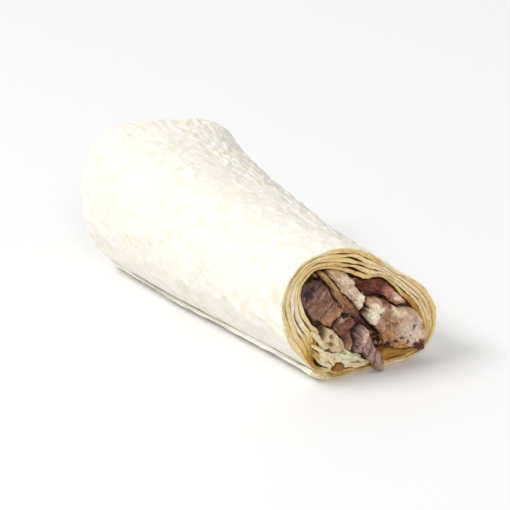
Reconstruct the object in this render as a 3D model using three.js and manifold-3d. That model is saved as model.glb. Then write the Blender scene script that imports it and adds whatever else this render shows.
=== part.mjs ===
// One half of a kebab wrap, cut across: a thin flatbread rolled round slices of kebab meat and shredded
// cabbage, lying on its side. The cut end faces -Y and the folded, shut end faces +Y.
// Millimetres, +Z up. A section across the roll is described in polar form round the roll's core: an angle
// runs from +X towards +Z, seen from the cut end, and "back" is the distance behind the cut.
import * as THREE from "three";
import { mergeVertices } from "three/addons/utils/BufferGeometryUtils.js";
import Module from "manifold-3d";

const wasm = await Module();
wasm.setup();

const radians = THREE.MathUtils.degToRad;
const FULL_TURN = radians(360);

// The roll. An outline is a mean radius and its crests: the n-th one is a wave with n crests,
// [size, direction of a crest in degrees].
const LENGTH = 143;
const CUT_OUTLINE = { mean: 22, crests: [[1.9, -162], [4, -26], [1.4, -15], [0.8, -26]] };
const END_OUTLINE = { mean: 28.6, crests: [[1.2, 170], [2.6, -4], [0.3, 0], [1.2, 41]] };
const SWELLING = 1.45; // how late along the roll the cut's oval swells to the shut end's broad box
const BOW = { side: 2.2, lateness: 1.4 }; // the roll bows to its left, most past the middle
const CORE_HEIGHT_AT_CUT = 18.4;
const CORE_HEIGHT_AT_END = 23.4;

// The flatbread: one sheet, rolled inwards from its free edge, low on the left.
const WALL = { mean: 4.8, crests: [[2.6, 98], [0.9, -3], [0.7, -23], [1.9, -1]] };
const THINNEST_WALL = 2.7;
const THICK_FOLDS = [
  { size: 4.3, direction: radians(-56), half_width: radians(15) }, // low on the right
  { size: 3, direction: radians(191), half_width: radians(15) }, // at the sheet's inner end, on the left
];
const LAYERS = 5;
const FREE_EDGE = radians(-140);
const ROLLED_ANGLE = radians(4 * 360 + 348);
const DIVE = 0.1; // the share of a turn in which a layer dips under the one before
const INNER_END_MARGIN = 0.025; // as a share of a turn, kept clear past the sheet's inner end
const SLOT_SHARE = 0.22; // of the pitch between two layers that is air
const EDGE_FLARE = { height: 2, fade_angle: radians(25), fade_length: 40 };

// The shut end: the rolled layers run into the solid mass of the sheet's folded-in ends.
const ROUNDING = 12;
const ROUNDING_DEPTH = 0.32;
const PLUG_START = LENGTH - 15;
const PLUG_OVERLAP = 0.5;
const PLUG_PROUD = 0.05;
const FOLD_HEIGHT = 1.3;
const FOLD_TURNS = 2;
const DOME_HEIGHT = 3;

// The filling.
const GAP = 0.35; // between neighbouring pieces
const WALL_GAP = 0.6; // between the pieces and the innermost layer, whose flats cut inside its curve
const FILLING_END = PLUG_START - 1.5;
const FAR_TAPER = 0.82; // the last section of a piece against its full size
const TAIL_LENGTH = 1; // the low point that closes a piece's far end
const NOSE = { full: 1.5, rounded: 0.45, size: 0.9 }; // distances behind a piece's tip, and the size there
const CORNER_SHARE = 0.9; // a piece's corner radius against its half thickness

// Mesh fineness.
const STEPS_PER_TURN = 30;
const ROLL_STATIONS = 8;
const PIECE_STATIONS = 6;
const PIECE_SIDES = 16;
const FACE_SHARES = [0.9, 0.68, 0.46, 0.24]; // rings across the shut end, from its rim inwards
const ROUNDED_STATIONS = 4;
const MARCH_STEP = 0.1;

// Slices and shreds, as they lie at the cut: centre, half its length and thickness, the slope of its long
// side, how far it stands out of the cut (or in, below zero), and how hard it presses on its neighbours.
const MEAT = { roughness: 0.55, metalness: 0 };
const LEAF = { roughness: 0.5, metalness: 0 };
const PIECES = [
  {
    name: "kebab_slice_left", color: 0x6f4c46, finish: MEAT,
    x: -10.9, z: 5.5, long: 9.6, thick: 4.7, slope: -64, out: -2, press: 0.5,
  },
  {
    name: "kebab_strip", color: 0x7b5540, finish: MEAT,
    x: -4, z: 3.4, long: 15, thick: 1.8, slope: -54, out: -0.6, press: 1.3,
  },
  {
    name: "kebab_slice_top", color: 0xa88f80, finish: MEAT,
    x: -4, z: 8.3, long: 10.5, thick: 3.3, slope: -52, out: 0.6, press: 0.9,
  },
  {
    name: "kebab_slice_dark", color: 0x5a2c26, finish: MEAT,
    x: 6.8, z: 5.6, long: 9.2, thick: 4, slope: -31, out: -1.6, press: 0.5,
  },
  {
    name: "kebab_chunk_right", color: 0xb79684, finish: MEAT,
    x: 9.1, z: -4, long: 12.9, thick: 6.8, slope: -41, out: 3.2, press: 0.2,
  },
  {
    name: "kebab_slice_middle", color: 0x634641, finish: MEAT,
    x: -5.3, z: -4, long: 7, thick: 4.7, slope: -58, out: -0.6, press: 0.2,
  },
  {
    name: "kebab_curl", color: 0x6e534e, finish: MEAT,
    x: -0.2, z: -10.8, long: 8.6, thick: 3.4, slope: -60, out: 2, press: 0.6,
  },
  {
    name: "cabbage_leaf", color: 0xd8cb9c, finish: LEAF,
    x: -11, z: -5.6, long: 6, thick: 4, slope: -50, out: 0.8, press: 0.3,
  },
  {
    name: "cabbage_shred_left", color: 0xd6c98f, finish: LEAF,
    x: -14, z: -11.2, long: 6, thick: 3.4, slope: -38, out: 0, press: 0.1,
  },
  {
    name: "cabbage_shred_low", color: 0xdccfa4, finish: LEAF,
    x: -4.4, z: -13.6, long: 8.8, thick: 3.6, slope: -12, out: 0.4, press: 0.3,
  },
  {
    name: "tomato_piece", color: 0xb5702e, finish: LEAF,
    x: -8.9, z: -14.2, long: 2.3, thick: 1.9, slope: -70, out: 1, press: 1.6,
  },
];

const BREAD = { color: 0xf0e6cb, roughness: 0.85, metalness: 0 };

// ---- The roll's outline --------------------------------------------------------------------------------

function radiusOf({ mean, crests }, angle) {
  const wave = (sum, [size, direction], i) => sum + size * Math.cos((i + 1) * (angle - radians(direction)));
  return crests.reduce(wave, mean);
}

// How far the section at this distance has swollen: 0 at the cut, 1 at the shut end.
function swollen(back) {
  return Math.pow(THREE.MathUtils.clamp(back / LENGTH, 0, 1), SWELLING);
}

function coreHeight(back) {
  return THREE.MathUtils.lerp(CORE_HEIGHT_AT_CUT, CORE_HEIGHT_AT_END, swollen(back));
}

// The outline's scale along the rounded shut end.
function rounding(back) {
  const into = THREE.MathUtils.clamp((back - LENGTH + ROUNDING) / ROUNDING, 0, 1);
  return 1 - ROUNDING_DEPTH * (1 - Math.sqrt(1 - into * into));
}

// The table flattens the underside: no direction reaches below it.
function radiusToTable(angle, back) {
  const down = -Math.sin(angle);
  return down > 0 ? coreHeight(back) / down : Infinity;
}

function rollRadius(angle, back) {
  const [atCut, atEnd] = [radiusOf(CUT_OUTLINE, angle), radiusOf(END_OUTLINE, angle)];
  const open = THREE.MathUtils.lerp(atCut, atEnd, swollen(back));
  return Math.min(open * rounding(back), radiusToTable(angle, back));
}

function coreSide(back) {
  const share = THREE.MathUtils.clamp(back / LENGTH, 0, 1);
  return -BOW.side * Math.sin(Math.PI * Math.pow(share, BOW.lateness));
}

function pointAt(angle, radius, back) {
  const x = coreSide(back) + radius * Math.cos(angle);
  return new THREE.Vector3(x, back, coreHeight(back) + radius * Math.sin(angle));
}

// ---- The flatbread's layers ----------------------------------------------------------------------------

// The angle from one direction to another, between minus and plus half a turn.
function turnedFrom(direction, angle) {
  return THREE.MathUtils.euclideanModulo(angle - direction + FULL_TURN / 2, FULL_TURN) - FULL_TURN / 2;
}

function wallThickness(angle) {
  const plain = Math.max(radiusOf(WALL, angle), THINNEST_WALL);
  const fold = ({ size, direction, half_width }) =>
    size * Math.exp(-((turnedFrom(direction, angle) / half_width) ** 2));
  return THICK_FOLDS.reduce((sum, each) => sum + fold(each), plain);
}

function layerPitch(angle) {
  return wallThickness(angle) / LAYERS;
}

// How many layers lie outside the sheet, at a rolled angle from its free edge: whole turns, and a dip
// under the turn before at the end of each.
function layersOutside(rolled) {
  const turns = rolled / FULL_TURN;
  const whole = Math.floor(turns);
  return whole + THREE.MathUtils.smoothstep(turns - whole, 1 - DIVE, 1);
}

// The free edge stands a little proud near the cut.
function edgeFlare(rolled, back) {
  const { height, fade_angle, fade_length } = EDGE_FLARE;
  return height * Math.exp(-rolled / fade_angle - back / fade_length);
}

function sheetOutside(rolled, back) {
  const angle = FREE_EDGE + rolled;
  const laid = rollRadius(angle, back) - layerPitch(angle) * layersOutside(rolled);
  return Math.min(laid + edgeFlare(rolled, back), radiusToTable(angle, back));
}

// The sheet's section as a closed ring: out along its outer side and back along its inner side.
function sheetRing(back) {
  const steps = Math.round((ROLLED_ANGLE / FULL_TURN) * STEPS_PER_TURN);
  const outer = [];
  const inner = [];
  for (let i = 0; i <= steps; i++) {
    const rolled = (ROLLED_ANGLE * i) / steps;
    const angle = FREE_EDGE + rolled;
    const outside = sheetOutside(rolled, back);
    outer.push(pointAt(angle, outside, back));
    inner.unshift(pointAt(angle, outside - layerPitch(angle) * (1 - SLOT_SHARE), back));
  }
  return [...outer, ...inner];
}

// ---- Solids --------------------------------------------------------------------------------------------

function spread(from, to, count) {
  return Array.from({ length: count }, (_, i) => THREE.MathUtils.lerp(from, to, i / (count - 1)));
}

// Triangles over a ring's inside: a fan from a point in it, or a ladder between its two halves.
function fan(size, offset, apex) {
  return Array.from({ length: size }, (_, i) => [offset + i, offset + ((i + 1) % size), apex]);
}

function ladder(size, offset) {
  const rungs = Array.from({ length: size / 2 - 1 }, (_, i) => [i, i + 1, size - 2 - i, size - 1 - i]);
  return rungs.flatMap(([a, b, c, d]) => [
    [offset + a, offset + b, offset + c],
    [offset + a, offset + c, offset + d],
  ]);
}

function reversed(triangles) {
  return triangles.map(([a, b, c]) => [c, b, a]);
}

// The skin between rings of equal size, from the first ring to the last.
function sides(rings) {
  const size = rings[0].length;
  const triangles = [];
  for (let row = 0; row + 1 < rings.length; row++)
    for (let i = 0; i < size; i++) {
      const next = (i + 1) % size;
      const [a, b] = [row * size + i, row * size + next];
      triangles.push([a, a + size, b + size], [a, b + size, b]);
    }
  return triangles;
}

function solid(points, triangles) {
  const positions = new Float32Array(points.flatMap((point) => point.toArray()));
  const geometry = new THREE.BufferGeometry();
  geometry.setAttribute("position", new THREE.BufferAttribute(positions, 3));
  geometry.setIndex(triangles.flat());
  const merged = mergeVertices(geometry, 1e-3);
  return new wasm.Manifold(
    new wasm.Mesh({
      numProp: 3,
      vertProperties: merged.attributes.position.array,
      triVerts: new Uint32Array(merged.index.array),
    }),
  );
}

// A loft of a strip that doubles back on itself, such as the rolled sheet.
function stripLoft(rings) {
  const size = rings[0].length;
  const lastRing = (rings.length - 1) * size;
  return solid(rings.flat(), [...sides(rings), ...ladder(size, 0), ...reversed(ladder(size, lastRing))]);
}

// A loft of plain rings, closed by a point at each end.
function bodyLoft(rings, firstPoint, lastPoint) {
  const size = rings[0].length;
  const count = rings.length * size;
  const ends = [...fan(size, 0, count), ...reversed(fan(size, count - size, count + 1))];
  return solid([...rings.flat(), firstPoint, lastPoint], [...sides(rings), ...ends]);
}

function average(points) {
  const sum = points.reduce((total, point) => total.add(point), new THREE.Vector3());
  return sum.divideScalar(points.length);
}

// ---- Flatbread -----------------------------------------------------------------------------------------

// The folded-in ends of the sheet lie over each other in a spiral of low steps across the shut end.
function foldRelief(angle, share) {
  const turn = THREE.MathUtils.euclideanModulo(share * FOLD_TURNS - angle / FULL_TURN, 1);
  return FOLD_HEIGHT * (1 - turn) * share;
}

function plugRing(back) {
  return spread(0, FULL_TURN, STEPS_PER_TURN + 1).slice(0, -1).map((rolled) => {
    const angle = FREE_EDGE + rolled;
    const radius = Math.min(sheetOutside(rolled, back) + PLUG_PROUD, radiusToTable(angle, back));
    return pointAt(angle, radius, back);
  });
}

function faceRing(share) {
  const rim = plugRing(LENGTH - DOME_HEIGHT);
  return rim.map((point, i) => {
    const angle = FREE_EDGE + (i / STEPS_PER_TURN) * FULL_TURN;
    const dome = DOME_HEIGHT * (1 - share * share) - foldRelief(angle, share);
    const height = THREE.MathUtils.lerp(CORE_HEIGHT_AT_END, point.z, share);
    return new THREE.Vector3(point.x * share, LENGTH - DOME_HEIGHT + dome, height);
  });
}

function flatbread() {
  const stations = [...spread(0, PLUG_START, ROLL_STATIONS), PLUG_START + PLUG_OVERLAP];
  const sheet = stripLoft(stations.map(sheetRing));
  const rounded = spread(LENGTH - ROUNDING, LENGTH - DOME_HEIGHT - FOLD_HEIGHT, ROUNDED_STATIONS);
  const rings = [...[PLUG_START, ...rounded].map(plugRing), ...FACE_SHARES.map(faceRing)];
  const plugFoot = pointAt(0, 0, PLUG_START);
  const plugTop = new THREE.Vector3(0, LENGTH, CORE_HEIGHT_AT_END);
  return sheet.add(bodyLoft(rings, plugFoot, plugTop));
}

// ---- Filling -------------------------------------------------------------------------------------------

// The room inside the innermost layer, and one layer less where that layer ends.
function roomRadius(angle, back) {
  const past = THREE.MathUtils.euclideanModulo(angle - FREE_EDGE, FULL_TURN) / FULL_TURN;
  const atInnerEnd = past > 1 - DIVE || past < INNER_END_MARGIN;
  return rollRadius(angle, back) - wallThickness(angle) - (atInnerEnd ? layerPitch(angle) : 0) - WALL_GAP;
}

// Distance from a section point to a piece's own rounded outline, below zero inside it.
function distanceTo(piece, x, z) {
  const slope = radians(piece.slope);
  const along = Math.abs((x - piece.x) * Math.cos(slope) + (z - piece.z) * Math.sin(slope));
  const across = Math.abs((z - piece.z) * Math.cos(slope) - (x - piece.x) * Math.sin(slope));
  const corner = Math.min(piece.thick, piece.long) * CORNER_SHARE;
  const dx = along - piece.long + corner;
  const dz = across - piece.thick + corner;
  return Math.hypot(Math.max(dx, 0), Math.max(dz, 0)) + Math.min(Math.max(dx, dz), 0) - corner;
}

// A point belongs to the piece that reaches deepest over it, with a gap to the next one.
function belongs(piece, x, z) {
  const own = distanceTo(piece, x, z);
  const inRoom = Math.hypot(x, z) < roomRadius(Math.atan2(z, x), 0);
  const reach = own - piece.press + GAP;
  const clear = (other) => other === piece || reach < distanceTo(other, x, z) - other.press;
  return own < 0 && inRoom && PIECES.every(clear);
}

// The piece's outline at the cut: from its centre, each ray runs out until it leaves the piece.
function outlineOf(piece) {
  const slope = radians(piece.slope);
  return spread(0, FULL_TURN, PIECE_SIDES + 1).slice(0, -1).map((turn) => {
    const along = piece.long * Math.cos(turn);
    const across = piece.thick * Math.sin(turn);
    const ray = new THREE.Vector2(along, across).normalize().rotateAround(new THREE.Vector2(), slope);
    let reach = 0;
    while (belongs(piece, piece.x + ray.x * (reach + MARCH_STEP), piece.z + ray.y * (reach + MARCH_STEP)))
      reach += MARCH_STEP;
    return new THREE.Vector2(piece.x + ray.x * reach, piece.z + ray.y * reach);
  });
}

// Carries an outline from the cut to another section, as the room round the filling changes its shape.
function carried(outline, back, size) {
  const total = outline.reduce((sum, point) => sum.add(point), new THREE.Vector2());
  const centre = total.divideScalar(outline.length);
  return outline.map((point) => {
    const sized = point.clone().sub(centre).multiplyScalar(size).add(centre);
    const angle = Math.atan2(sized.y, sized.x);
    const stretch = roomRadius(angle, Math.max(back, 0)) / roomRadius(angle, 0);
    return pointAt(angle, sized.length() * stretch, back);
  });
}

function fillingPiece(piece) {
  const outline = outlineOf(piece);
  const front = -piece.out;
  const stations = spread(front + NOSE.full, FILLING_END, PIECE_STATIONS);
  const rings = stations.map((back) => carried(outline, back, back === FILLING_END ? FAR_TAPER : 1));
  const tip = carried(outline, front + NOSE.rounded, NOSE.size);
  const nose = average(tip).setY(front);
  const tail = average(rings.at(-1)).setY(FILLING_END + TAIL_LENGTH);
  return bodyLoft([tip, ...rings], nose, tail);
}

// ---- Assembly ------------------------------------------------------------------------------------------

function meshOf(made, name, finish) {
  const { numProp, vertProperties, triVerts } = made.getMesh();
  const geometry = new THREE.BufferGeometry();
  geometry.setAttribute("position", new THREE.BufferAttribute(vertProperties, numProp));
  geometry.setIndex(new THREE.BufferAttribute(triVerts, 1));
  geometry.computeVertexNormals();
  const mesh = new THREE.Mesh(geometry, new THREE.MeshStandardMaterial(finish));
  mesh.name = name;
  return mesh;
}

const wrap = new THREE.Group();
wrap.add(meshOf(flatbread(), "flatbread", BREAD));
for (const piece of PIECES)
  wrap.add(meshOf(fillingPiece(piece), piece.name, { color: piece.color, ...piece.finish }));

// The part's origin is under the middle of its box, on the table.
const box = new THREE.Box3().setFromObject(wrap);
const middle = box.getCenter(new THREE.Vector3());
wrap.position.set(-middle.x, -middle.y, -box.min.z);

export default wrap;
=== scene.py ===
"""Looks of one half of a kebab wrap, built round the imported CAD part.

Shapes are worked out in millimetres. A section across the roll is described round the roll's core, as in
the CAD: an angle runs from +X towards +Z, "rolled" is the angle along the sheet from its free edge, and
"back" is the distance behind the cut.
"""
import math
from collections import namedtuple

import bmesh
import bpy
import numpy as np
from mathutils import Matrix, Vector


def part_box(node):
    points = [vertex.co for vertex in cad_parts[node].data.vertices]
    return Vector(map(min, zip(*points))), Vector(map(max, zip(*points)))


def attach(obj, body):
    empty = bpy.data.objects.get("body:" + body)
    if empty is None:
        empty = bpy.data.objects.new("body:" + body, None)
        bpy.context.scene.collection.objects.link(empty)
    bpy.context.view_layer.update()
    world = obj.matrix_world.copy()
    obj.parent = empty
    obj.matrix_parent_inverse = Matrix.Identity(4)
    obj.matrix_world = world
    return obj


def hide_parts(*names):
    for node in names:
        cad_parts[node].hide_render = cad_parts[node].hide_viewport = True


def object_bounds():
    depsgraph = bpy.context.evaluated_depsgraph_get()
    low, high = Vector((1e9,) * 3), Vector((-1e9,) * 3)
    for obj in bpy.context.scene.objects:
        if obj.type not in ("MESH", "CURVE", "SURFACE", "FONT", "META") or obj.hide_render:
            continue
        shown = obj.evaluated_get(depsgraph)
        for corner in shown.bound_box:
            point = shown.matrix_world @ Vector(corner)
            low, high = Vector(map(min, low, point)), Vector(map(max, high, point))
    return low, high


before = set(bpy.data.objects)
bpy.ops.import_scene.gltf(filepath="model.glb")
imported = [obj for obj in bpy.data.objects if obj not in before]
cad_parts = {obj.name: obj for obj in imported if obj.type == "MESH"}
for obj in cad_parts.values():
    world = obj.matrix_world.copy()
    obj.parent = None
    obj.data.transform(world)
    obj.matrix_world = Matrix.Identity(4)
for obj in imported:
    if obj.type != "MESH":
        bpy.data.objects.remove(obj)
cad_low, cad_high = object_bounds()

MM = 0.001
TURN = 2 * math.pi

# ---- The roll, with the CAD's own sizes -----------------------------------------------------------------

LENGTH = 143.0
CUT_OUTLINE = (22.0, [(1.9, -162), (4.0, -26), (1.4, -15), (0.8, -26)])
END_OUTLINE = (28.6, [(1.2, 170), (2.6, -4), (0.3, 0), (1.2, 41)])
SWELLING = 1.45
BOW_SIDE, BOW_LATENESS = 2.2, 1.4
CORE_HEIGHT_AT_CUT, CORE_HEIGHT_AT_END = 18.4, 23.4
WALL = (4.8, [(2.6, 98), (0.9, -3), (0.7, -23), (1.9, -1)])
THINNEST_WALL = 2.7
LOW_RIGHT, INNER_END_SIDE = -56, 191  # directions of the wall's two thick folds, in degrees
THICK_FOLDS = ((4.3, LOW_RIGHT), (3.0, INNER_END_SIDE))
THICK_FOLD_HALF_WIDTH = math.radians(15)
LAYERS = 5
FREE_EDGE = math.radians(-140)
ROLLED_ANGLE = math.radians(4 * 360 + 348)
DIVE = 0.1  # share of each turn in which the sheet dives under the turn outside it
INNER_END_MARGIN = 0.025
FLARE, FLARE_ANGLE, FLARE_LENGTH = 1.3, math.radians(25), 40.0  # how the free edge stands up
ROUNDING, ROUNDING_DEPTH = 12.0, 0.32  # of the shut end
FILLING_END = LENGTH - 16.5
GAP, WALL_GAP = 0.12, 0.15  # between the filling's pieces, and between them and the sheet
FAR_TAPER = 0.82
CORNER_SHARE = 0.9  # of a piece's thickness, how far its corners are rounded
CORE_X = 1.615
CUT_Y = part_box("flatbread")[0].y / MM


def radius_of(outline, angle):
    mean, crests = outline
    return mean + sum(size * np.cos((n + 1) * (angle - math.radians(at))) for n, (size, at) in enumerate(crests))


def smooth(value, low, high):
    share = np.clip((value - low) / (high - low), 0, 1)
    return share * share * (3 - 2 * share)


def mixed(a, b, share):
    return a + (b - a) * share


def stacked(x, y, z):
    """Points from their three coordinates, numbers or arrays."""
    return np.stack(np.broadcast_arrays(x, y, z), -1)


def around(count):
    """Directions spread evenly over a whole turn."""
    return np.linspace(0, TURN, count + 1)[:-1]


def swollen(back):
    return np.clip(np.asarray(back, float) / LENGTH, 0, 1) ** SWELLING


def core_height(back):
    return mixed(CORE_HEIGHT_AT_CUT, CORE_HEIGHT_AT_END, swollen(back))


def core_side(back):
    return -BOW_SIDE * np.sin(math.pi * np.clip(back / LENGTH, 0, 1) ** BOW_LATENESS)


def rounding(back):
    into = np.clip((back - LENGTH + ROUNDING) / ROUNDING, 0, 1)
    return 1 - ROUNDING_DEPTH * (1 - np.sqrt(1 - into * into))


def radius_to_table(angle, back):
    down = np.maximum(-np.sin(angle), 1e-6)
    return core_height(back) / down


def roll_radius(angle, back):
    free = mixed(radius_of(CUT_OUTLINE, angle), radius_of(END_OUTLINE, angle), swollen(back))
    return np.minimum(free * rounding(back), radius_to_table(angle, back))


def turned_from(direction, angle):
    """The angle from one direction to another, between minus and plus half a turn."""
    return np.mod(angle - direction + math.pi, TURN) - math.pi


def bump_at(degrees, angle, half_width):
    """1 in one direction round the core, fading away from it."""
    return np.exp(-(turned_from(math.radians(degrees), angle) / half_width) ** 2)


def wall_thickness(angle):
    folds = sum(size * bump_at(direction, angle, THICK_FOLD_HALF_WIDTH) for size, direction in THICK_FOLDS)
    return np.maximum(radius_of(WALL, angle), THINNEST_WALL) + folds


def room_radius(angle, back):
    past = np.mod(angle - FREE_EDGE, TURN) / TURN
    at_inner_end = (past > 1 - DIVE) | (past < INNER_END_MARGIN)
    wall = wall_thickness(angle) * np.where(at_inner_end, 1 + 1 / LAYERS, 1)
    return roll_radius(angle, back) - wall - WALL_GAP


def placed(angle, radius, back):
    """Points in the CAD's frame, in millimetres."""
    x = CORE_X + core_side(back) + radius * np.cos(angle)
    z = core_height(back) + radius * np.sin(angle)
    return stacked(x, CUT_Y + back, z)


# ---- Noise ----------------------------------------------------------------------------------------------

dice = np.random.default_rng(11)
SLOPES = dice.normal(size=(256, 3))
SLOPES /= np.linalg.norm(SLOPES, axis=1)[:, None]
SHUFFLED = dice.permutation(256)
NOISE_GAIN = 1.6  # brings the noise to about -1 to 1
SEED_STEP, OCTAVE_STEP = 7.31, 3.7  # how far apart the noise of two seeds, or of two octaves, is taken
RIDGE_SHARPNESS = 2.2


def lattice_noise(points):
    cell = np.floor(points).astype(int)
    inside = points - cell
    ease = inside ** 3 * (inside * (inside * 6 - 15) + 10)
    total = np.zeros(points.shape[:-1])
    for corner in np.ndindex(2, 2, 2):
        key = np.zeros(points.shape[:-1], int)
        for axis in range(3):
            key = SHUFFLED[(key + cell[..., axis] + corner[axis]) & 255]
        weight = np.prod(np.where(corner, ease, 1 - ease), axis=-1)
        total += weight * ((inside - corner) * SLOPES[key]).sum(-1)
    return total * NOISE_GAIN


def noise(points, size, seed, octaves=1, gain=0.5):
    """Smooth noise, about -1 to 1. size is the width of its features: one number, or one for each axis."""
    total = 0
    for octave in range(octaves):
        place = points * 2 ** octave / np.asarray(size, float) + seed * SEED_STEP + octave * OCTAVE_STEP
        total = total + gain ** octave * lattice_noise(place)
    return total


def ridged(points, size, seed, octaves=1):
    """Noise with sharp crests: 1 along them, falling to 0."""
    return np.clip(1 - np.abs(noise(points, size, seed, octaves)) * RIDGE_SHARPNESS, 0, 1)


# ---- Colours --------------------------------------------------------------------------------------------


def colour(code):
    """A colour written as in a stylesheet, as linear light."""
    parts = np.array([int(code[i:i + 2], 16) / 255 for i in (0, 2, 4)])
    return np.where(parts <= 0.04045, parts / 12.92, ((parts + 0.055) / 1.055) ** 2.4)


def painted(count, base, *coats):
    """A colour at each point: the base, then each coat over it by its share."""
    result = np.tile(colour(base), (count, 1))
    for share, code in coats:
        result = mixed(result, colour(code), np.clip(share, 0, 1).reshape(-1, 1))
    return result


# ---- Meshes ---------------------------------------------------------------------------------------------


def grid_faces(rows, columns, start=0, closed=False):
    row = np.arange(rows - 1)[:, None] * columns
    column = np.arange(columns if closed else columns - 1)[None, :]
    following = (column + 1) % columns
    corners = [row + column, row + following, row + columns + following, row + columns + column]
    return (np.stack(corners, -1).reshape(-1, 4) + start).tolist()


def zipped(a, b):
    """Triangles between two runs of vertices, which may differ in number."""
    a, b, faces, i, j = a.tolist(), b.tolist(), [], 0, 0
    while i < len(a) - 1 or j < len(b) - 1:
        if j == len(b) - 1 or (i < len(a) - 1 and (i + 1) * (len(b) - 1) <= (j + 1) * (len(a) - 1)):
            faces.append((a[i], a[i + 1], b[j]))
            i += 1
        else:
            faces.append((a[i], b[j + 1], b[j]))
            j += 1
    return faces


class Shape:
    """Vertices, faces and the values painted on them, gathered for one piece."""

    def __init__(self):
        self.points, self.faces, self.values, self.count = [], [], {}, 0

    def add(self, points, **values):
        points = np.asarray(points, float).reshape(-1, 3)
        start = self.count
        self.points.append(points)
        self.count += len(points)
        for name, value in values.items():
            self.values.setdefault(name, []).append(np.asarray(value, float).reshape(len(points), -1))
        return start

    def fan(self, first, count, centre):
        """Closes a ring of vertices round one more vertex."""
        self.faces += [(first + i, first + (i + 1) % count, centre) for i in range(count)]

    def wall(self, first, second, count):
        """Faces between two closed rings of vertices."""
        i = np.arange(count)
        following = (i + 1) % count
        self.faces += np.stack([first + i, first + following, second + following, second + i], -1).tolist()

    def piece(self, name, material, slot, nodes=(), sharp=60):
        mesh = bpy.data.meshes.new(name)
        mesh.from_pydata((np.concatenate(self.points) * MM).tolist(), [], self.faces)
        edit = bmesh.new()
        edit.from_mesh(mesh)
        bmesh.ops.recalc_face_normals(edit, faces=edit.faces)
        edit.to_mesh(mesh)
        edit.free()
        for key, parts in self.values.items():
            data = np.concatenate(parts)
            if key == "tint":
                data = np.column_stack([data, np.ones(len(data))])
            kind, field = {3: ("FLOAT_VECTOR", "vector"), 4: ("FLOAT_COLOR", "color")}[data.shape[1]]
            mesh.attributes.new(key, kind, "POINT").data.foreach_set(field, data.astype(np.float32).ravel())
        mesh.polygons.foreach_set("use_smooth", [True] * len(mesh.polygons))
        mesh.set_sharp_from_angle(angle=math.radians(sharp))
        mesh.materials.append(material)
        thing = bpy.data.objects.new(name, mesh)
        bpy.context.scene.collection.objects.link(thing)
        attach(thing, "root")
        if nodes:
            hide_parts(*nodes)
        return thing


# ---- Materials ------------------------------------------------------------------------------------------


class Look:
    """A node material round one Principled shader."""

    def __init__(self, name, **settings):
        self.material = bpy.data.materials.new(name)
        self.material.use_nodes = True
        self.tree = self.material.node_tree
        self.tree.nodes.clear()
        self.shader = self.node("BsdfPrincipled", **settings)
        output = self.tree.nodes.new("ShaderNodeOutputMaterial")
        self.tree.links.new(self.shader.outputs[0], output.inputs["Surface"])
        self.place = self.tree.nodes.new("ShaderNodeTexCoord").outputs["Object"]

    def node(self, kind, options=None, **inputs):
        made = self.tree.nodes.new("ShaderNode" + kind)
        for key, value in (options or {}).items():
            setattr(made, key, value)
        for key, value in inputs.items():
            self.set(made.inputs[key.replace("_", " ")], value)
        return made

    def set(self, socket, value):
        if isinstance(value, bpy.types.NodeSocket):
            self.tree.links.new(value, socket)
        else:
            socket.default_value = value

    def value(self, name, output):
        return self.node("Attribute", {"attribute_name": name}).outputs[output]

    def maths(self, operation, a, b):
        made = self.node("Math", {"operation": operation})
        self.set(made.inputs[0], a)
        self.set(made.inputs[1], b)
        return made.outputs[0]

    def mix(self, share, a, b, blend="MIX"):
        made = self.node("Mix", {"data_type": "RGBA", "blend_type": blend})
        for index, value in ((0, share), (6, a), (7, b)):
            self.set(made.inputs[index], value)
        return made.outputs[2]

    def grain(self, size_mm, detail=3.0, distortion=0.0):
        """Noise about 0 to 1 with features of that size."""
        made = self.node("TexNoise", Vector=self.place, Scale=1 / (size_mm * MM), Detail=detail, Roughness=0.55,
                         Distortion=distortion)
        return made.outputs["Fac"]

    def bent(self, place, size):
        """A place moved about by noise, in its own units."""
        wander = self.node("TexNoise", Vector=place, Scale=0.7, Detail=2.0).outputs["Color"]
        made = self.node("VectorMath", {"operation": "MULTIPLY_ADD"})
        for index, value in enumerate((wander, (size, size, size), place)):
            self.set(made.inputs[index], value)
        return made.outputs[0]

    def scaled(self, tint, factor):
        made = self.node("VectorMath", {"operation": "SCALE"})
        self.set(made.inputs[0], tint)
        self.set(made.inputs["Scale"], factor)
        return made.outputs[0]

    def ranged(self, value, low, high, to_low=0.0, to_high=1.0):
        made = self.node("MapRange", None, Value=value, From_Min=low, From_Max=high, To_Min=to_low, To_Max=to_high)
        return made.outputs["Result"]

    def coated(self, tint, mask, low, high, share, over):
        """A tint multiplied by a colour where a mask goes from low to high."""
        return self.mix(self.ranged(mask, low, high, 0, share), tint, over, "MULTIPLY")

    def finished(self, tint, roughness, relief, distance_mm, strength):
        bump = self.node("Bump", None, Height=relief, Distance=distance_mm * MM, Strength=strength)
        for name, value in (("Base Color", tint), ("Roughness", roughness), ("Normal", bump.outputs["Normal"])):
            self.set(self.shader.inputs[name], value)
        return self.material


def bread_look():
    look = Look("bread", Roughness=0.7, IOR=1.4, Subsurface_Weight=0.12, Subsurface_Radius=(0.9, 0.65, 0.4),
                Subsurface_Scale=0.0022, Specular_IOR_Level=0.3)
    flecks = look.grain(0.8, 5.0)
    patches = look.grain(3.5, 4.0, distortion=0.4)
    tint = look.coated(look.value("tint", "Color"), patches, 0.42, 0.68, 0.4, (0.95, 0.92, 0.84, 1))
    tint = look.coated(tint, flecks, 0.52, 0.75, 0.4, (0.9, 0.82, 0.64, 1))
    pores = look.ranged(look.grain(0.55, 2.0), 0.3, 0.5)
    relief = look.maths("ADD", look.maths("MULTIPLY", pores, 0.5), look.grain(1.6, 5.0))
    return look.finished(tint, look.ranged(patches, 0.3, 0.7, 0.6, 0.8), relief, 0.22, 0.7)


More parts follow.
